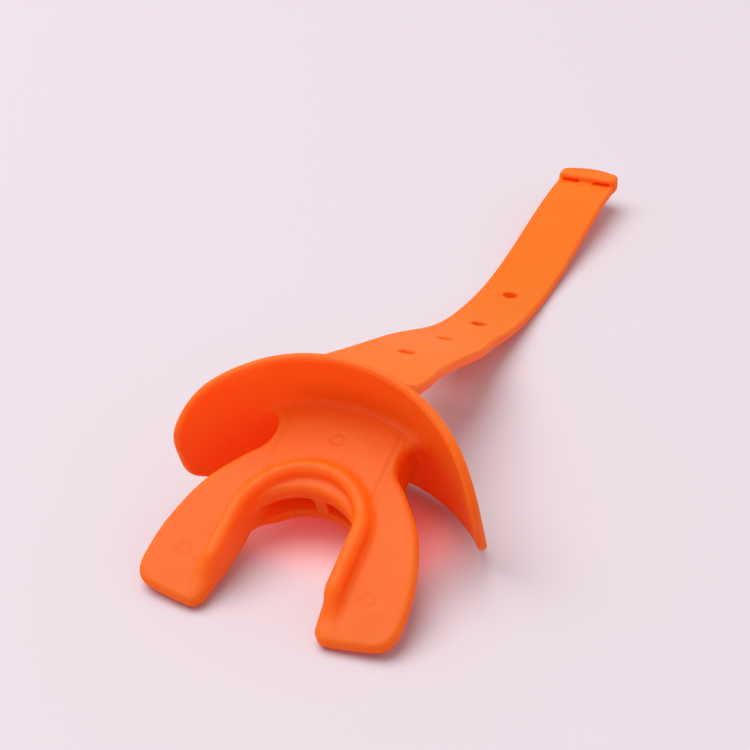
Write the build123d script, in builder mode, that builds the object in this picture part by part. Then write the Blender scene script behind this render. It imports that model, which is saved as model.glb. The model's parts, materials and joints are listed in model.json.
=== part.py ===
from build123d import *
import os
from math import cos, radians, sin

# Sports mouthguard with a lip shield and a tether strap, lying as it rests on a table.
# Millimetres, +Z up, +X across the mouth, +Y from the bite tray to the far end of the strap.
# The origin is on the table, under the middle of the whole object.

# Placing: the tray leans back on its tips and on the lower edge of the shield.
TRAY_TILT = 24.6  # degrees that the bite plane rises towards the shield
TRAY_Y = -81.028
TRAY_Z = 19.333

# Bite tray. Lengths along it are measured from TRAY_Y, positive towards the shield,
# and heights from the bite plane.
PLATE_T = 3.2
ARCH_R = 13.6  # the tongue wall's middle line at the front of the arch
ARCH_Y = -17.0
WALL_T = 3.6
WALL_TOP = 3.5
WALL_DEEP = 12.4  # below the bite plane, at the front of the arch
LEG_DEEP = 7.2  # and where the arms begin
TIP_Y = -39.4
TIP_OUTER_Y = -36.9
TIP_OUTER_R = 6.0
TIP_INNER_R = 2.4
ARM_HALF = 28.9  # half the width over both arms
NECK_HALF = 14.4
NECK_Y = 3.2
NECK_FLARE = 3.4
BEAD_R = 1.5

# Breathing channel under the plate, from the tongue side to the lip shield.
MOUTH_TOP = 1.2  # below the bite plane
MOUTH_Y = -8.3  # its lips stand out from the tongue wall
MOUTH_HALF = 11.0
MOUTH_BEHIND = 5.2
CHANNEL_TOP = 5.0
CHANNEL_H = 4.8
CHANNEL_HALF = 9.0
STRUT_W = 3.0
STRUT_L = 4.0

# Lip shield: an oval cut from a round shell.
SHIELD_T = 2.1
SHIELD_R = 38.8  # inner radius
SHIELD_Y = 14.0  # inner face at its middle
SHIELD_HALF = 34.8
SHIELD_TOP = 15.4
SHIELD_WIDEST = -6.0
SHIELD_BOTTOM = -26.6
SHIELD_AXIS_Y = SHIELD_Y - SHIELD_R

# Strap: a flat band that rests as it fell, made as rigid links joined by hinges.
# Its resting line is given as distances in front of and above the tray's origin.
STRAP_T = 2.5
LINK_GAP = 0.2
REST_LINE = [(12.4, 11.75), (29.8, 6.75), (54.0, -1.35), (78.0, -10.05), (91.4, -13.95)]
REST_LINE += [(106.4, -16.55), (122.4, -17.75), (158.4, -14.25), (196.6, -11.25)]
HOLE_PITCH = 26.4
HOLE_R = 2.0
HOLE_COUNT = 4
FIRST_HOLE = 31.0  # along the strap from the shield
LINK_COUNT = 8
WIDTHS = [29.0, 24.4, 23.4, 18.2, 17.6, 17.6, 17.6, 17.6, 17.6]  # at each hinge, then the end
ROOT_W = 30.4
ROOT_T = 5.2  # thickness where the strap grows out of the shield

# Cross bar at the strap's end.
BAR_W = 18.6
BAR_L = 3.6
BAR_BOW = 1.2
BAR_H = 4.6
BAR_LIFT = 0.7  # how far its middle stands above the strap's middle
POCKET_W = 4.8
POCKET_L = 2.2
POCKET_X = 5.0
POCKET_DEEP = 1.0

REACH = 60.0  # longer than anything that is cut

tilt = radians(TRAY_TILT)
tray = Plane(origin=(0, TRAY_Y, TRAY_Z), x_dir=(1, 0, 0), z_dir=(0, -sin(tilt), cos(tilt)))
front = Plane(origin=tray.origin, x_dir=(1, 0, 0), z_dir=(0, -cos(tilt), -sin(tilt)))
side = Plane(origin=tray.origin, x_dir=(0, cos(tilt), sin(tilt)), z_dir=(1, 0, 0))


def shell_y(x, radius=SHIELD_R):
    """How far along the tray the shield's shell stands, x away from its middle."""
    return SHIELD_AXIS_Y + (radius**2 - x**2) ** 0.5


def horseshoe(radius, end_y, mode=Mode.ADD):
    """A filled U about the tongue wall's middle line, open towards the tips."""
    with BuildLine() as edge:
        Polyline((-radius, ARCH_Y), (-radius, end_y), (radius, end_y), (radius, ARCH_Y))
        ThreePointArc((radius, ARCH_Y), (0, ARCH_Y + radius), (-radius, ARCH_Y))
    make_face(edge.edges(), mode=mode)


def write(piece, name):
    piece.part.label = name
    export_step(piece.part, f"parts/{name}.step")


os.makedirs("parts", exist_ok=True)

# --- Bite tray: plate, tongue wall and the hollow neck ---------------------------------
wall_in = ARCH_R - WALL_T / 2
wall_out = ARCH_R + WALL_T / 2
flare_x = NECK_HALF + NECK_FLARE

with BuildPart() as tongue_wall:
    with BuildSketch(tray.offset(-WALL_DEEP)):
        horseshoe(wall_out, TIP_Y + TIP_INNER_R)
        horseshoe(wall_in, TIP_Y, mode=Mode.SUBTRACT)
    extrude(amount=WALL_DEEP + WALL_TOP)
    bead = tongue_wall.faces().sort_by(Axis(tray.origin, tray.z_dir))[-1]
    fillet(bead.edges().filter_by(lambda e: e.length > PLATE_T + 1), BEAD_R)
    # Both edges of the wall run out towards the tips.
    with BuildSketch(side):
        with BuildLine():
            Polyline(
                (TIP_Y, -PLATE_T),
                (ARCH_Y, -LEG_DEEP),
                (ARCH_Y + wall_in / 2, -WALL_DEEP),
                (ARCH_Y + wall_out + 1, -WALL_DEEP),
                (ARCH_Y + wall_out + 1, WALL_TOP),
                (-30.0, WALL_TOP),
                (TIP_Y + TIP_INNER_R, 0),
                close=True,
            )
        make_face()
    extrude(amount=ARM_HALF, both=True, mode=Mode.INTERSECT)

with BuildPart() as bite_tray:
    add(tongue_wall.part)
    with BuildSketch(tray.offset(-PLATE_T)) as outline:
        with BuildLine():
            shell = ThreePointArc(
                (0, SHIELD_Y),
                (flare_x / 2, shell_y(flare_x / 2)),
                (flare_x, shell_y(flare_x)),
            )
            waist = TangentArc(shell @ 1, (NECK_HALF, NECK_Y), tangent=(-1, -0.1))
            outer = Spline(
                waist @ 1,
                (19.0, -4.0),
                (24.6, -12.0),
                (28.0, -22.5),
                (ARM_HALF, -31.0),
                tangents=[(0.35, -1), (0, -1)],
            )
            Polyline(outer @ 1, (ARM_HALF, TIP_OUTER_Y), (wall_in, TIP_Y), (wall_in, ARCH_Y))
            JernArc((wall_in, ARCH_Y), (0, 1), wall_in, 90)
            Line((0, ARCH_Y + wall_in), (0, SHIELD_Y))
        make_face()
        mirror(about=Plane.YZ)
        tips = outline.vertices().filter_by(lambda v: v.Y < TIP_OUTER_Y + 0.5)
        fillet(tips.filter_by(lambda v: abs(v.X) > ARCH_R + 5), TIP_OUTER_R)
        fillet(tips.filter_by(lambda v: abs(v.X) < ARCH_R + 5), TIP_INNER_R)
    extrude(amount=PLATE_T)
    # The neck under the plate, from lips inside the tongue wall to the inside of the shield.
    with BuildSketch(tray.offset(-WALL_DEEP)):
        with BuildLine():
            ThreePointArc(
                (MOUTH_HALF, MOUTH_Y - MOUTH_BEHIND),
                (0, MOUTH_Y),
                (-MOUTH_HALF, MOUTH_Y - MOUTH_BEHIND),
            )
            Polyline(
                (-MOUTH_HALF, MOUTH_Y - MOUTH_BEHIND),
                (-NECK_HALF, MOUTH_Y),
                (-NECK_HALF, shell_y(NECK_HALF)),
            )
            ThreePointArc(
                (-NECK_HALF, shell_y(NECK_HALF)),
                (0, SHIELD_Y),
                (NECK_HALF, shell_y(NECK_HALF)),
            )
            Polyline(
                (NECK_HALF, shell_y(NECK_HALF)),
                (NECK_HALF, MOUTH_Y),
                (MOUTH_HALF, MOUTH_Y - MOUTH_BEHIND),
            )
        make_face()
    extrude(amount=WALL_DEEP - MOUTH_TOP)
    # The channel, with a strut that holds its mouth open.
    with BuildSketch(tray.offset(-CHANNEL_TOP - CHANNEL_H)):
        with Locations((0, ARCH_Y)):
            Rectangle(2 * CHANNEL_HALF, REACH, align=(Align.CENTER, Align.MIN))
        with Locations((0, MOUTH_Y)):
            Rectangle(STRUT_W, STRUT_L, align=(Align.CENTER, Align.MIN), mode=Mode.SUBTRACT)
    extrude(amount=CHANNEL_H, mode=Mode.SUBTRACT)
write(bite_tray, "bite_tray")

# --- Lip shield ----------------------------------------------------------------------
with BuildPart() as lip_shield:
    with BuildSketch(tray.offset(SHIELD_BOTTOM)):
        with Locations((0, SHIELD_AXIS_Y)):
            Circle(SHIELD_R + SHIELD_T)
            Circle(SHIELD_R, mode=Mode.SUBTRACT)
        with Locations((0, SHIELD_AXIS_Y - REACH)):
            Rectangle(2 * REACH, 2 * REACH, mode=Mode.SUBTRACT)
    extrude(amount=SHIELD_TOP - SHIELD_BOTTOM)
    with BuildSketch(front):
        with BuildLine():
            Spline(
                (0, SHIELD_TOP),
                (19.4, 13.6),
                (29.4, 9.6),
                (SHIELD_HALF, SHIELD_WIDEST),
                (29.6, -21.0),
                (17.0, -25.6),
                (0, SHIELD_BOTTOM),
                tangents=[(1, 0), (-1, 0)],
            )
            Line((0, SHIELD_BOTTOM), (0, SHIELD_TOP))
        make_face()
        mirror(about=Plane.YZ)
        with Locations((0, -CHANNEL_TOP - CHANNEL_H / 2)):
            Rectangle(2 * CHANNEL_HALF, CHANNEL_H, mode=Mode.SUBTRACT)
    extrude(amount=2 * REACH, both=True, mode=Mode.INTERSECT)
write(lip_shield, "lip_shield")

# --- Strap -----------------------------------------------------------------------------
with BuildLine(Plane.YZ) as rest:
    Spline(*[(TRAY_Y + along, TRAY_Z + up) for along, up in REST_LINE])
rest_line = rest.edges()[0]
hinges = [FIRST_HOLE - HOLE_PITCH, FIRST_HOLE - HOLE_PITCH / 2]
hinges += [hinges[1] + HOLE_PITCH * (n + 1) for n in range(LINK_COUNT - 2)]
stations = hinges + [rest_line.length - BAR_L / 2]


def at(length):
    """The strap's middle plane, a length from the shield: +X across it, +Z out of its top."""
    along = rest_line.tangent_at(length, position_mode=PositionMode.LENGTH)
    place = rest_line.position_at(length, position_mode=PositionMode.LENGTH)
    return Plane(origin=place, x_dir=(1, 0, 0), z_dir=Vector(1, 0, 0).cross(along))


def in_side_view(plane, along, up):
    """A point of a strap plane as the side view's two coordinates."""
    point = plane.from_local_coords((0, along, up))
    return (point.Y, point.Z)


def band(start, end):
    """The side view of a stretch of the strap, its top and underside each one arc."""
    planes = [at(start), at((start + end) / 2), at(end)]
    top = [in_side_view(p, 0, STRAP_T / 2) for p in planes]
    under = [in_side_view(p, 0, -STRAP_T / 2) for p in planes]
    with BuildLine() as edge:
        ThreePointArc(*top)
        ThreePointArc(*under)
        Line(top[0], under[0])
        Line(top[2], under[2])
    make_face(edge.edges())


def outline_between(start, end, start_w, end_w):
    """The strap from above over that stretch, running on past both ends at the same slope."""
    first, last = at(start).origin.Y, at(end).origin.Y
    past = 2 * STRAP_T
    more = past * (end_w - start_w) / (last - first)
    near, far = (start_w - more) / 2, (end_w + more) / 2
    Polygon((-near, first - past), (near, first - past), (far, last + past), (-far, last + past), align=None)


# The root grows out of the shield, thick at first.
with BuildPart() as strap_root:
    with BuildSketch(Plane.YZ):
        with BuildLine():
            Polyline(
                in_side_view(at(0), -ROOT_T, ROOT_T / 2),
                in_side_view(at(0), 0, ROOT_T / 2),
                in_side_view(at(hinges[0]), 0, STRAP_T / 2),
                in_side_view(at(hinges[0]), 0, -STRAP_T / 2),
                in_side_view(at(0), 0, -ROOT_T / 2),
                in_side_view(at(0), -ROOT_T, -ROOT_T / 2),
                close=True,
            )
        make_face()
        with Locations(in_side_view(at(hinges[0]), 0, 0)):
            Circle(STRAP_T / 2 + LINK_GAP, mode=Mode.SUBTRACT)
    extrude(amount=REACH, both=True)
    with BuildSketch():
        outline_between(0, hinges[0], ROOT_W, WIDTHS[0])
    extrude(amount=REACH, mode=Mode.INTERSECT)
    with BuildSketch(tray.offset(-REACH)):
        with Locations((0, SHIELD_AXIS_Y)):
            Circle(SHIELD_R + SHIELD_T)
    extrude(amount=2 * REACH, mode=Mode.SUBTRACT)
write(strap_root, "strap_root")

for n in range(LINK_COUNT):
    start, end = stations[n], stations[n + 1]
    is_last = n == LINK_COUNT - 1
    with BuildPart() as link:
        # A rounded end turns in the hollow end of the link before it.
        with BuildSketch(Plane.YZ):
            band(start, end)
            with Locations(in_side_view(at(start), 0, 0)):
                Circle(STRAP_T / 2)
            if not is_last:
                with Locations(in_side_view(at(end), 0, 0)):
                    Circle(STRAP_T / 2 + LINK_GAP, mode=Mode.SUBTRACT)
        extrude(amount=REACH, both=True)
        with BuildSketch():
            outline_between(start, end, WIDTHS[n], WIDTHS[n + 1])
        extrude(amount=REACH, mode=Mode.INTERSECT)
        if 0 < n <= HOLE_COUNT:
            with Locations(at((start + end) / 2)):
                Hole(HOLE_R)
        if is_last:
            # The cross bar, bowed at its far side, with a pocket each side of the middle.
            with BuildSketch(at(end).offset(BAR_LIFT - BAR_H / 2)):
                with BuildLine():
                    Polyline(
                        (BAR_W / 2, BAR_L / 2),
                        (BAR_W / 2, -BAR_L / 2),
                        (-BAR_W / 2, -BAR_L / 2),
                        (-BAR_W / 2, BAR_L / 2),
                    )
                    ThreePointArc(
                        (-BAR_W / 2, BAR_L / 2),
                        (0, BAR_L / 2 + BAR_BOW),
                        (BAR_W / 2, BAR_L / 2),
                    )
                make_face()
            extrude(amount=BAR_H)
            with Locations(at(end).offset(STRAP_T / 2)):
                with Locations((-POCKET_X, -BAR_L / 2), (POCKET_X, -BAR_L / 2)):
                    Box(
                        POCKET_W,
                        POCKET_L,
                        POCKET_DEEP,
                        align=(Align.CENTER, Align.MAX, Align.MAX),
                        mode=Mode.SUBTRACT,
                    )
    write(link, "strap_end" if is_last else f"strap_link_{n + 1}")

for n, length in enumerate(stations):
    place = at(length).origin
    print(f"station {n}: y {place.Y:.2f}, z {place.Z:.2f}")
for n in range(HOLE_COUNT):
    middle = at(FIRST_HOLE + n * HOLE_PITCH)
    print(f"hole {n + 1}: {middle.origin}, axis {middle.z_dir}")
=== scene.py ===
import json
from math import cos, radians, sin

import bpy
import numpy as np
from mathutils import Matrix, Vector

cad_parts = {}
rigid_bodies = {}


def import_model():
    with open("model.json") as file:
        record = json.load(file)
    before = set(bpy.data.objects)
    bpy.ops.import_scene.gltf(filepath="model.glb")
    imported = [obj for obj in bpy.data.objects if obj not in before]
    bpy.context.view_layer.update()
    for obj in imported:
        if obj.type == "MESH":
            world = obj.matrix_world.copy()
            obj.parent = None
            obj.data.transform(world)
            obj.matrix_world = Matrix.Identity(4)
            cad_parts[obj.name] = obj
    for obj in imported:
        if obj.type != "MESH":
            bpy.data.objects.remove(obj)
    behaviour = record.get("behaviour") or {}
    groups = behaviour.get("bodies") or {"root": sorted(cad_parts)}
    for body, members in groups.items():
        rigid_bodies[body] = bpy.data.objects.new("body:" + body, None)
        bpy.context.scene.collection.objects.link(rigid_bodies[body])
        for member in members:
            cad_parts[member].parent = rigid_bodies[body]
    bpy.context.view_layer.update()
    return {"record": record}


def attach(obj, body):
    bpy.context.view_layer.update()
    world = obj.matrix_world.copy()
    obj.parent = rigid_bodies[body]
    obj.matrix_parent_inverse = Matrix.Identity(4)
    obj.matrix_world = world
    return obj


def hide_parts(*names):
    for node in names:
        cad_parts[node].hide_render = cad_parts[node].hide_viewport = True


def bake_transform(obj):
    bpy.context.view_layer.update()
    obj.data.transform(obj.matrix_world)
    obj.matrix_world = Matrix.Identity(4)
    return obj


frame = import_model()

# Soft sports mouthguard: bite tray and lip shield in one smooth moulding, and a flexible tether
# strap. Every shape is a distance field in millimetres, which is meshed and put into metres.
# The mouthguard's field is in the tray's own axes: x across, y towards the shield, z up from the
# bite plane. The strap's field is that of the flat strap: s along it, x across, n through it.
record = frame["record"]
MM = 0.001

# --- The tray's place, and the line that the strap lies along --------------------------------
TRAY_TILT = radians(24.6)
TRAY_Y = -81.028
TRAY_Z = 19.333
STRAP_START = (12.4, 11.75)  # in front of the tray's origin, and above it
STRAP_END = (196.6, -11.25)

# --- Shapes, in millimetres ------------------------------------------------------------------
SHELL_T = 2.1
SHELL_R = 38.8 + SHELL_T / 2  # the middle of the shield's wall
SHELL_AXIS = 14.0 - 38.8
SHELL_EDGE = [(0, 15.3), (11, 15.0), (19.6, 13.9), (28.9, 11.0), (34.0, 4.0), (35.1, -5.0)]
SHELL_EDGE += [(34.4, -14.0), (29.6, -21.0), (21.0, -24.8), (10.0, -26.2), (0, -26.5)]

PLATE_T = 3.2
PLATE_EDGE = [(24.0, 20), (21.0, 12.5), (17.2, 8.9), (15.2, 6.6), (14.4, 3.6), (15.6, -0.2)]
PLATE_EDGE += [(19.0, -4.0), (24.6, -12.0), (28.0, -22.5), (28.9, -31.0), (28.4, -35.0)]
PLATE_EDGE += [(26.4, -37.4), (22.0, -38.5), (16.0, -39.4), (8.0, -39.9), (0, -39.9)]
# Half the gap between the arms, at places along the tray.
GAP_HALF = [(-41, 15.5), (-38.9, 13.6), (-37.6, 12.6), (-34, 12.5), (-30, 13.0), (-26, 13.6)]
GAP_HALF += [(-17, 13.6)]
ARCH_R = 13.6
ARCH_Y = -17.0
WALL_HALF = 1.8
WALL_THIN = 0.7  # how much the wall loses on its tongue side round the front of the arch
WALL_TOP = 1.0
WALL_END = -38.0
BEAD_R = 1.8
BEAD_TOP = (2.3, 3.3)  # round the front of the arch, and along the legs
SINK_Y = -28.5  # past here the bead sinks into the arms and the walls splay
SINK_L = 8
SPLAY = (1.7, 9.5)  # how far outwards, over what length
# The height of the lower edge of the wall and the neck, at places along the tray.
LOWER_EDGE = [(-40, -3.4), (-37.7, -4.0), (-29, -5.2), (-22, -6.8), (-18, -7.0), (-12, -12.2)]
LOWER_EDGE += [(0, -12.2)]
NECK_HALF = 14.4
NECK_LINE = (12.7, 0.36, 0.38)  # a fine groove each side of the neck's top: place, depth, width
LEDGE_TOP = -0.2
LEDGE_R = 14.2  # the arc that the ledge over the channel's mouth follows
LEDGE_Y = -8.3
CHANNEL = (11.6, -9.3, -4.1)  # half width, bottom, top
STRUT_HALF = 1.4
STRUT_L = 4.0
MARKS = [(20.6, -28.7), (-20.6, -28.7), (0, 5.2)]  # faint rings that the mould's pins leave
MARK_RING = (1.3, 0.5, 0.25)  # radius, width, depth

STRAP_T = 2.5
STRAP_WIDTH = [(-10, 25.5), (0, 26.0), (4, 26.8), (8, 26.9), (13, 26.3), (22, 24.2), (31, 23.4)]
STRAP_WIDTH += [(44, 23.2), (51, 22.9), (57, 22.0), (63, 20.2), (70, 18.3), (77, 17.9), (95, 18.2)]
STRAP_WIDTH += [(300, 18.4)]
ROOT_HALF = [(-3, 2.6), (0, 2.4), (5.5, 0.75)]  # half the root's thickness, as it runs into the band
ROOT_END = 5
HOLE_R = 2.05
BAR_HALF = 9.3
BAR_L = 5.2
BAR_BOW = 2.9  # how far the middle of its far side stands out
BAR_UNDER = -1.5
BAR_TOP = 3.3
POCKET = (2.7, 2.3, 0.4)  # half width, reach in front of the bar, depth
POCKET_X = 5.0


# --- Distance fields -------------------------------------------------------------------------
def both(a, b, r):
    """Where a and b overlap, with their shared outer edge rounded to radius r."""
    outside = np.hypot(np.maximum(a + r, 0), np.maximum(b + r, 0))
    return np.minimum(np.maximum(a, b), -r) + outside


def either(a, b, r):
    """a joined to b, with a fillet of radius r between them."""
    return -both(-a, -b, r)


def without(a, b, r):
    """a with b cut away, and the cut's rim rounded to radius r."""
    return both(a, -b, r)


def step(t):
    """From 0 to 1 with a smooth start and end."""
    t = np.clip(t, 0, 1)
    return t * t * (3 - 2 * t)


def curve_through(points, per_span=10):
    """A smooth closed line through the points of a half outline and their mirror images."""
    half = np.array(points, float)
    left = half[::-1] * (-1, 1)
    on_axis = half[-1, 0] == 0
    loop = np.vstack([half, left[1:-1] if on_axis else left])
    t = np.linspace(0, 1, per_span, endpoint=False)[:, None]
    spans = []
    for n in range(len(loop)):
        a, b, c, d = (loop[(n + k) % len(loop)] for k in (-1, 0, 1, 2))
        spans.append(0.5 * (2 * b + (c - a) * t + (2 * a - 5 * b + 4 * c - d) * t**2
                            + (3 * b - a - 3 * c + d) * t**3))
    return np.vstack(spans)


def polygon_distance(loop, x, y):
    """Signed distance in the plane to a closed polygon, negative inside it."""
    x, y = np.broadcast_arrays(x, y)
    nearest = np.full(x.shape, 1e9)
    inside = np.zeros(x.shape, bool)
    for (ax, ay), (bx, by) in zip(loop, np.roll(loop, -1, axis=0)):
        ex, ey = bx - ax, by - ay
        px, py = x - ax, y - ay
        h = np.clip((px * ex + py * ey) / (ex * ex + ey * ey), 0, 1)
        nearest = np.minimum(nearest, (px - ex * h) ** 2 + (py - ey * h) ** 2)
        crosses = (ay > y) != (by > y)
        if ay != by:
            inside ^= crosses & (x < ax + ex * (y - ay) / ey)
    return np.where(inside, -1, 1) * np.sqrt(nearest)


def table(points, at):
    """A smooth value read from (place, value) pairs."""
    place, value = np.array(points, float).T
    dense = np.linspace(place[0], place[-1], 800)
    plain = np.interp(dense, place, value)
    window = np.hanning(31)
    smooth = np.convolve(np.pad(plain, 15, mode="edge"), window / window.sum(), mode="valid")
    return np.interp(at, dense, smooth)


# --- The mouthguard --------------------------------------------------------------------------
# The shield's outline is cut across it, and its field measures round it.
shell_edge = curve_through(SHELL_EDGE)
shell_edge[:, 0] = SHELL_R * np.arcsin(np.clip(shell_edge[:, 0] / SHELL_R, -1, 1))
plate_edge = curve_through(PLATE_EDGE)


def shell_field(x, y, z):
    """The lip shield: an oval cut from a round wall. The outline is measured only near the wall."""
    radial = np.hypot(x, y - SHELL_AXIS) - SHELL_R
    wall = np.abs(radial) - SHELL_T / 2
    around = SHELL_R * np.arctan2(x, y - SHELL_AXIS)
    full = np.broadcast_to(wall, np.broadcast_shapes(wall.shape, z.shape)).copy()
    near = full < 4
    u = np.broadcast_to(around, full.shape)[near]
    v = np.broadcast_to(z, full.shape)[near]
    full[near] = both(full[near], polygon_distance(shell_edge, u, v), 1.0)
    return full


def lower_edge(y):
    return np.interp(y, *np.array(LOWER_EDGE, float).T)


def tongue_wall_field(x, y, z):
    """The wall round the tongue side, with a bead along its top."""
    reach, length = SPLAY
    splay = reach * np.clip((SINK_Y - y) / length, 0, 1.3) ** 1.5
    arch = np.hypot(x, y - ARCH_Y)
    out = np.where(y > ARCH_Y, arch, np.abs(x) - splay) - ARCH_R
    front = step((y - ARCH_Y) / 7)
    fade = step((SINK_Y - y) / SINK_L)
    inner, outer = -WALL_HALF + WALL_THIN * front, WALL_HALF
    middle, half = (inner + outer) / 2, (outer - inner) / 2
    rest = np.maximum(lower_edge(y) - z, z - WALL_TOP + 1.8 * fade)
    wall = both(np.abs(out - middle) - half, rest, 0.9)
    bead_r = BEAD_R - 0.7 * fade - 0.2 * front
    top = BEAD_TOP[1] + (BEAD_TOP[0] - BEAD_TOP[1]) * front - 3.0 * fade
    bead = np.hypot(out, z - top + BEAD_R) - bead_r
    wall = either(wall, bead, 0.5)
    return both(wall, WALL_END - y, 1.2)


def neck_field(x, y, z):
    """The hollow neck under the plate, from the ledge in the tongue gap to the shield."""
    ledge = LEDGE_R - np.hypot(x, y - LEDGE_Y + LEDGE_R)
    radial = np.hypot(x, y - SHELL_AXIS) - SHELL_R
    sides = both(np.abs(x) - NECK_HALF, ledge, 1.5)
    block = both(sides, z - LEDGE_TOP, 1.4)
    block = both(block, lower_edge(y) - z, 1.0)
    return np.maximum(block, np.maximum(radial, ARCH_Y - y))


def mouthguard_field(x, y, z):
    """Tray, neck, shield and strap root as one body, with the channel and the mould's marks cut in."""
    radial = np.hypot(x, y - SHELL_AXIS) - SHELL_R
    gap = np.where(y > ARCH_Y, ARCH_R - np.hypot(x, y - ARCH_Y), table(GAP_HALF, y) - np.abs(x))
    outline = np.maximum(both(polygon_distance(plate_edge, x, y), gap, 0.9), radial)
    plate = both(outline, np.abs(z + PLATE_T / 2) - PLATE_T / 2, 1.2)
    half, deep, wide = NECK_LINE
    line = deep * np.exp(-(((np.abs(x) - half) / wide) ** 2))
    plate = plate + line * step((y + 9) / 3) * (z > -1)
    tray = either(plate, tongue_wall_field(x, y, z), 1.5)
    tray = either(tray, neck_field(x, y, z), 0.7)
    body = either(tray, shell_field(x, y, z), 1.8)
    half, low, high = CHANNEL
    slot = both(np.abs(x) - half, np.maximum(low - z, z - high), 0.8)
    mouth = np.maximum(np.abs(x) - STRUT_HALF, np.abs(y - LEDGE_Y - STRUT_L / 2) - STRUT_L / 2)
    slot = without(np.maximum(slot, ARCH_Y - y), mouth, 0.5)
    body = without(body, slot, 0.5)
    ring_r, wide, deep = MARK_RING
    for mark_x, mark_y in MARKS:
        spot = np.hypot(x - mark_x, y - mark_y)
        body = body + deep * np.exp(-(((spot - ring_r) / wide) ** 2)) * (z > -1)
    return either(body, root_field(x, y, z), 2.0)


# --- The strap's line ------------------------------------------------------------------------
def spline_line(points):
    """Points and tangents every 0.1 mm along a natural cubic spline, and the length to each."""
    p = np.array(points, float)
    t = np.concatenate([[0], np.cumsum(np.hypot(*np.diff(p, axis=0).T))])
    h = np.diff(t)
    m = np.eye(len(t))
    right = np.zeros_like(p)
    for n in range(1, len(t) - 1):
        m[n, n - 1:n + 2] = h[n - 1], 2 * (h[n - 1] + h[n]), h[n]
        right[n] = 6 * ((p[n + 1] - p[n]) / h[n] - (p[n] - p[n - 1]) / h[n - 1])
    bend = np.linalg.solve(m, right)
    at = np.linspace(0, t[-1], int(t[-1] * 10))
    n = np.clip(np.searchsorted(t, at, side="right") - 1, 0, len(h) - 1)
    a, b, width = (t[n + 1] - at)[:, None], (at - t[n])[:, None], h[n][:, None]
    line = (bend[n] * a**3 + bend[n + 1] * b**3) / (6 * width)
    line += (p[n] / width - bend[n] * width / 6) * a
    line += (p[n + 1] / width - bend[n + 1] * width / 6) * b
    along = np.gradient(line, at, axis=0)
    return line, along / np.linalg.norm(along, axis=1)[:, None], at


hinges = [np.array(j["pos_m"][1:]) / MM for j in record["behaviour"]["joints"]]
holes = [np.array(m["pos_m"][1:]) / MM for m in record["mounts"]]
tray_place = np.array([TRAY_Y, TRAY_Z])
ends = [tray_place + STRAP_START, tray_place + STRAP_END]
line, tangents, lengths = spline_line(sorted([*hinges, *holes, *ends], key=lambda p: p[0]))


def length_at(place):
    """The strap's length up to a place on its line."""
    return lengths[np.argmin(np.hypot(*(line - place).T))]


hinge_s = [length_at(h) for h in hinges]
hole_s = [length_at(h) for h in holes]
strap_l = lengths[-1]


def on_line(s):
    """The middle of the strap at length s, and its direction. Past both ends it runs straight on."""
    place = np.stack([np.interp(s, lengths, line[:, k]) for k in (0, 1)], axis=-1)
    along = np.stack([np.interp(s, lengths, tangents[:, k]) for k in (0, 1)], axis=-1)
    along /= np.linalg.norm(along, axis=-1)[..., None]
    beyond = s - np.clip(s, 0, strap_l)
    return place + along * beyond[..., None], along


def lay_down(points):
    """Points of the flat strap, moved to where it lies, in metres."""
    s, x, n = points.T
    place, along = on_line(s)
    y = place[:, 0] - along[:, 1] * n
    z = place[:, 1] + along[:, 0] * n
    return np.stack([x, y, z], axis=1) * MM


def from_tray(points):
    """Points of the tray's axes in the row's frame, in metres."""
    x, y, z = points.T
    c, s = cos(TRAY_TILT), sin(TRAY_TILT)
    return np.stack([x, TRAY_Y + y * c - z * s, TRAY_Z + y * s + z * c], axis=1) * MM


def root_field(x, y, z):
    """The thick start of the strap, which grows out of the shield and runs into the band."""
    start, along = on_line(np.array([0.0]))
    c, s = cos(TRAY_TILT), sin(TRAY_TILT)
    fy, fz = TRAY_Y + y * c - z * s - start[0, 0], TRAY_Z + y * s + z * c - start[0, 1]
    ahead = fy * along[0, 0] + fz * along[0, 1]
    up = fz * along[0, 0] - fy * along[0, 1]
    half = np.interp(ahead, *np.array(ROOT_HALF, float).T)
    block = both(np.abs(x) - table(STRAP_WIDTH, ahead) / 2 + 0.3, np.abs(up) - half, 0.7)
    radial = np.hypot(x, y - SHELL_AXIS) - SHELL_R
    return np.maximum(both(block, ahead - ROOT_END, 0.6), SHELL_T / 2 - 0.1 - radial)


def strap_field(s, x, n):
    """The flat strap with its holes, the bar across its end, and the two pockets beside the bar."""
    band = both(np.abs(x) - table(STRAP_WIDTH, s) / 2, np.abs(n) - STRAP_T / 2, 0.6)
    for hole in hole_s:
        band = without(band, np.hypot(s - hole, x) - HOLE_R, 0.35)
    near = strap_l - BAR_L
    bow = BAR_BOW * (1 - (x / BAR_HALF) ** 2)
    along = both(near - s, s - strap_l - bow, 1.3)
    bar = both(np.abs(x) - BAR_HALF, along, 1.4)
    bar = both(bar, np.maximum(BAR_UNDER - n, n - BAR_TOP), 1.0)
    band = np.maximum(band, np.maximum(-0.6 - s, s - strap_l))
    band = either(band, bar, 0.5)
    half, reach, deep = POCKET
    for side in (-1, 1):
        pocket = both(np.abs(x - side * POCKET_X) - half, np.abs(s - near) - reach, 0.6)
        # It is sunk into the strap, and runs a little way in under the bar's top.
        inside = np.abs(n - STRAP_T / 2 - 0.1) - deep
        band = without(band, both(pocket, inside, 0.4), 0.3)
    return band


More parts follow.
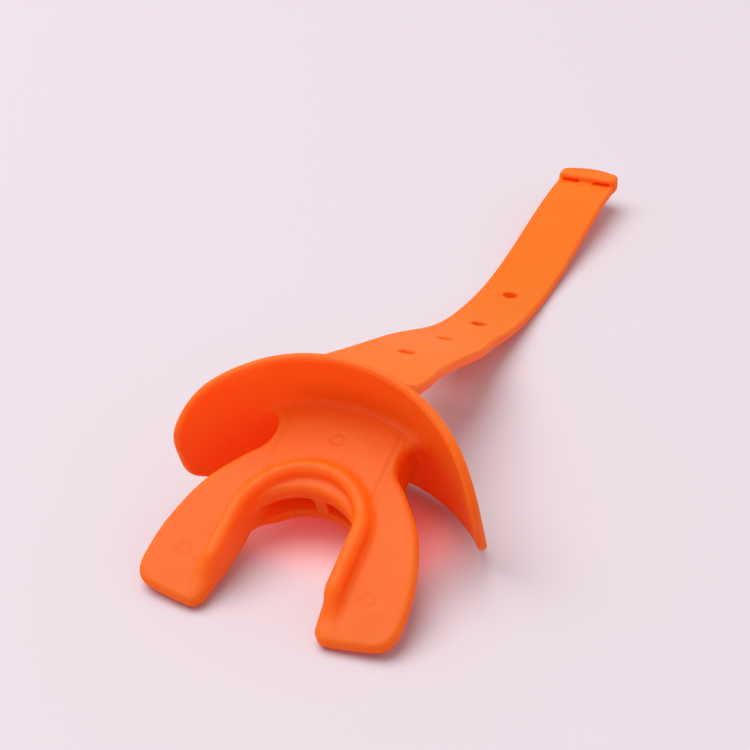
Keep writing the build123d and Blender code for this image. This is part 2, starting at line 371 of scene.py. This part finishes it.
# --- Meshing ---------------------------------------------------------------------------------
def surface(field, low, high, cell):
    """Vertices and quads over the zero level of a field, one vertex in each cell it crosses."""
    axes = [np.arange(a, b + c, c) for a, b, c in zip(low, high, cell)]
    x, y, z = np.meshgrid(*axes, indexing="ij", sparse=True)
    value = field(x, y, z)
    shape = tuple(n - 1 for n in value.shape)
    corners = [(i, j, k) for i in (0, 1) for j in (0, 1) for k in (0, 1)]

    def corner(i, j, k):
        return value[i:i + shape[0], j:j + shape[1], k:k + shape[2]]

    below = sum((corner(*c) < 0).astype(np.int8) for c in corners)
    cells = np.argwhere((below > 0) & (below < 8))
    number = np.full(shape, -1)
    number[tuple(cells.T)] = np.arange(len(cells))
    total, count = np.zeros((len(cells), 3)), np.zeros(len(cells))
    for a in corners:
        for axis in range(3):
            if a[axis] == 1:
                continue
            b = tuple(1 if k == axis else a[k] for k in range(3))
            va, vb = value[tuple((cells + a).T)], value[tuple((cells + b).T)]
            hit = (va < 0) != (vb < 0)
            share = va[hit] / (va[hit] - vb[hit])
            total[hit] += cells[hit] + a
            total[hit, axis] += share
            count[hit] += 1
    vertices = np.array(low) + total / count[:, None] * np.array(cell)
    quads = []
    for axis in range(3):
        e, f = (axis + 1) % 3, (axis + 2) % 3
        a = np.moveaxis(value, axis, 0)[:-1]
        b = np.moveaxis(value, axis, 0)[1:]
        edges = np.argwhere((a < 0) != (b < 0))
        inward = a[tuple(edges.T)] < 0
        place = np.zeros_like(edges)
        rest = [k for k in range(3) if k != axis]
        place[:, axis] = edges[:, 0]
        place[:, rest[0]], place[:, rest[1]] = edges[:, 1], edges[:, 2]
        ring = []
        for de, df in [(1, 1), (0, 1), (0, 0), (1, 0)]:
            at = place.copy()
            at[:, e] -= de
            at[:, f] -= df
            ring.append(number[tuple(at.T)])
        ring = np.stack(ring, axis=1)
        ring[~inward] = ring[~inward][:, ::-1]
        quads.append(ring)
    return settle(field, vertices, np.vstack(quads), min(cell))


def settle(field, vertices, quads, cell, rounds=3):
    """Evens the mesh out and draws its vertices onto the field's zero level."""
    links = np.vstack([quads[:, [0, 1]], quads[:, [1, 2]], quads[:, [2, 3]], quads[:, [3, 0]]])
    links = np.vstack([links, links[:, ::-1]])
    degree = np.bincount(links[:, 0], minlength=len(vertices))
    small = 0.02

    def onto(points):
        p = points.T.reshape(3, -1)
        for _ in range(2):
            at = field(*p)
            ahead = [field(*(p + small * d)) for d in np.eye(3)[:, :, None]]
            slope = np.stack([(value - at) / small for value in ahead])
            p = p - np.clip(at, -cell, cell) * slope / np.maximum((slope**2).sum(axis=0), 0.3)
        return p.T

    vertices = onto(vertices)
    for _ in range(rounds):
        sums = [np.bincount(links[:, 0], vertices[links[:, 1], k], len(vertices)) for k in range(3)]
        middle = np.stack(sums, axis=1) / degree[:, None]
        vertices = onto(vertices + 0.5 * (middle - vertices))
    return vertices, quads


def make_mesh(name, vertices, quads, material):
    """A smooth-shaded piece from the vertices that its quads use."""
    used, quads = np.unique(quads, return_inverse=True)
    quads = quads.reshape(-1, 4)
    mesh = bpy.data.meshes.new(name)
    mesh.from_pydata(vertices[used].tolist(), [], quads.tolist())
    mesh.validate()
    mesh.shade_smooth()
    mesh.materials.append(material)
    piece = bpy.data.objects.new(name, mesh)
    bpy.context.collection.objects.link(piece)
    return piece


# --- Material --------------------------------------------------------------------------------
def elastomer(name, green, scatter, through):
    """Soft orange elastomer with a satin mould finish.

    Light spreads inside it by the length scatter, and the share through goes straight through a wall.
    The strap's bands are open at their ends, so theirs is mostly the second kind.
    """
    material = bpy.data.materials.new(name)
    material.use_nodes = True
    nodes, links = material.node_tree.nodes, material.node_tree.links
    shader = nodes["Principled BSDF"]

    def noise(scale, detail):
        node = nodes.new("ShaderNodeTexNoise")
        node.inputs["Scale"].default_value = scale
        node.inputs["Detail"].default_value = detail
        links.new(place.outputs["Object"], node.inputs["Vector"])
        return node

    def ramp(source, low, high, start=0.3, end=0.7):
        node = nodes.new("ShaderNodeValToRGB")
        node.color_ramp.elements[0].position, node.color_ramp.elements[1].position = start, end
        node.color_ramp.elements[0].color, node.color_ramp.elements[1].color = low, high
        links.new(source.outputs["Fac"], node.inputs["Fac"])
        return node

    place = nodes.new("ShaderNodeTexCoord")
    cloud = ramp(noise(60, 3), (0.98, green, 0.011, 1), (1.0, green + 0.02, 0.014, 1))
    links.new(cloud.outputs["Color"], shader.inputs["Base Color"])
    finish = ramp(noise(260, 4), (0.38, 0.38, 0.38, 1), (0.48, 0.48, 0.48, 1))
    links.new(finish.outputs["Color"], shader.inputs["Roughness"])
    grain = nodes.new("ShaderNodeBump")
    grain.inputs["Strength"].default_value = 0.12
    grain.inputs["Distance"].default_value = 0.00008
    links.new(noise(2600, 3).outputs["Fac"], grain.inputs["Height"])
    waviness = nodes.new("ShaderNodeBump")
    waviness.inputs["Strength"].default_value = 0.25
    waviness.inputs["Distance"].default_value = 0.0002
    links.new(noise(110, 2).outputs["Fac"], waviness.inputs["Height"])
    links.new(waviness.outputs["Normal"], grain.inputs["Normal"])
    links.new(grain.outputs["Normal"], shader.inputs["Normal"])
    shader.inputs["Subsurface Weight"].default_value = 1.0
    shader.inputs["Subsurface Radius"].default_value = (1.0, 0.3, 0.08)
    shader.inputs["Subsurface Scale"].default_value = scatter
    shader.inputs["Specular IOR Level"].default_value = 0.31
    shader.inputs["IOR"].default_value = 1.43
    behind = nodes.new("ShaderNodeBsdfTranslucent")
    behind.inputs["Color"].default_value = (1.0, 0.18, 0.03, 1)
    links.new(grain.outputs["Normal"], behind.inputs["Normal"])
    mix = nodes.new("ShaderNodeMixShader")
    mix.inputs["Fac"].default_value = through
    links.new(shader.outputs["BSDF"], mix.inputs[1])
    links.new(behind.outputs["BSDF"], mix.inputs[2])
    links.new(mix.outputs["Shader"], nodes["Material Output"].inputs["Surface"])
    return material


# --- Pieces ----------------------------------------------------------------------------------
CELL = 0.5
MOUTHGUARD_BOX = ((-38, -42, -29), (38, 26, 18))
SEAM_PAST_HOLE = 3.7
BEND_REACH = 8.0  # a reach each way from a hinge, whose end points are worked out but not used
SHORT_REACH = 5.5  # and at the first two hinges, which lie closer together

solid_orange = elastomer("orange_elastomer", 0.205, 0.007, 0.42)
band_orange = elastomer("orange_elastomer_band", 0.28, 0.001, 0.52)

vertices, quads = surface(mouthguard_field, *MOUTHGUARD_BOX, (CELL,) * 3)
mouthguard = make_mesh("mouthguard", from_tray(vertices), quads, solid_orange)
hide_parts("bite_tray", "lip_shield", "strap_root")
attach(mouthguard, "mouthpiece")

bodies = [j["child"] for j in record["behaviour"]["joints"]]
parents = [j["parent"] for j in record["behaviour"]["joints"]]
seams = [(hinge_s[0] + hinge_s[1]) / 2]
seams += [hole + SEAM_PAST_HOLE for hole in hole_s]
seams += [(a + b) / 2 for a, b in zip(hinge_s[5:-1], hinge_s[6:])]
flat, quads = surface(strap_field, (-2, -17, -3), (strap_l + 4, 17, 4.5), (CELL, CELL, CELL * 0.8))
middles = flat[quads, 0].mean(axis=1)
owner = np.searchsorted(seams, middles)
laid = lay_down(flat)
for n, (parent, child, hinge) in enumerate(zip(parents, bodies, hinge_s)):
    node = record["behaviour"]["bodies"][child][0]
    piece = make_mesh(f"strap_band_{n + 1}", laid, quads[owner == n], band_orange)
    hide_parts(node)
    reach = SHORT_REACH if n < 2 else BEND_REACH
    start, end = lay_down(np.array([[hinge - reach, 0, 0], [hinge + reach, 0, 0]]))
    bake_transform(piece)

# --- Stage, light and camera -----------------------------------------------------------------
FLOOR_HALF = 3.0
floor_mesh = bpy.data.meshes.new("floor")
corners = [(-FLOOR_HALF, -FLOOR_HALF, 0), (FLOOR_HALF, -FLOOR_HALF, 0)]
corners += [(FLOOR_HALF, FLOOR_HALF, 0), (-FLOOR_HALF, FLOOR_HALF, 0)]
floor_mesh.from_pydata(corners, [], [(0, 1, 2, 3)])
floor = bpy.data.objects.new("floor", floor_mesh)
bpy.context.collection.objects.link(floor)
paper = bpy.data.materials.new("pale_paper")
paper.use_nodes = True
paper_shader = paper.node_tree.nodes["Principled BSDF"]
paper_shader.inputs["Base Color"].default_value = (0.58, 0.515, 0.552, 1)
paper_shader.inputs["Roughness"].default_value = 0.7
floor_mesh.materials.append(paper)

world = bpy.data.worlds.new("studio")
world.use_nodes = True
world.node_tree.nodes["Background"].inputs["Color"].default_value = (1.0, 0.97, 0.99, 1)
world.node_tree.nodes["Background"].inputs["Strength"].default_value = 0.65
bpy.context.scene.world = world


def softbox(name, place, aim, size, power, colour=(1, 1, 1)):
    """A lamp that is never seen itself."""
    light = bpy.data.lights.new(name, "AREA")
    light.shape = "ELLIPSE"
    light.size, light.size_y = size
    light.energy = power
    light.color = colour
    lamp = bpy.data.objects.new(name, light)
    lamp.visible_camera = False
    bpy.context.collection.objects.link(lamp)
    lamp.location = place
    direction = np.array(aim) - np.array(place)
    lamp.rotation_euler = Vector(direction).to_track_quat("-Z", "Y").to_euler()


softbox("key", (-1.2, -0.1, 3.0), (0, 0, 0), (3.4, 3.4), 114)
# Soft elastomer passes more red light on to the table under it than its shader does.
softbox("glow", (0, -0.079, 0.004), (0, -0.079, 0), (0.054, 0.034), 0.0026, (1.0, 0.1, 0.07))
# The default view transform would turn this orange pale.
bpy.context.scene.view_settings.view_transform = "Standard"

camera = bpy.data.objects.new("camera", bpy.data.cameras.new("camera"))
camera.data.lens = 67.2
camera.data.sensor_width = 36
camera.location = (0.1084, -0.3019, 0.1827)
camera.rotation_euler = (radians(59.8), 0, radians(23.9))
bpy.context.collection.objects.link(camera)
bpy.context.scene.camera = camera
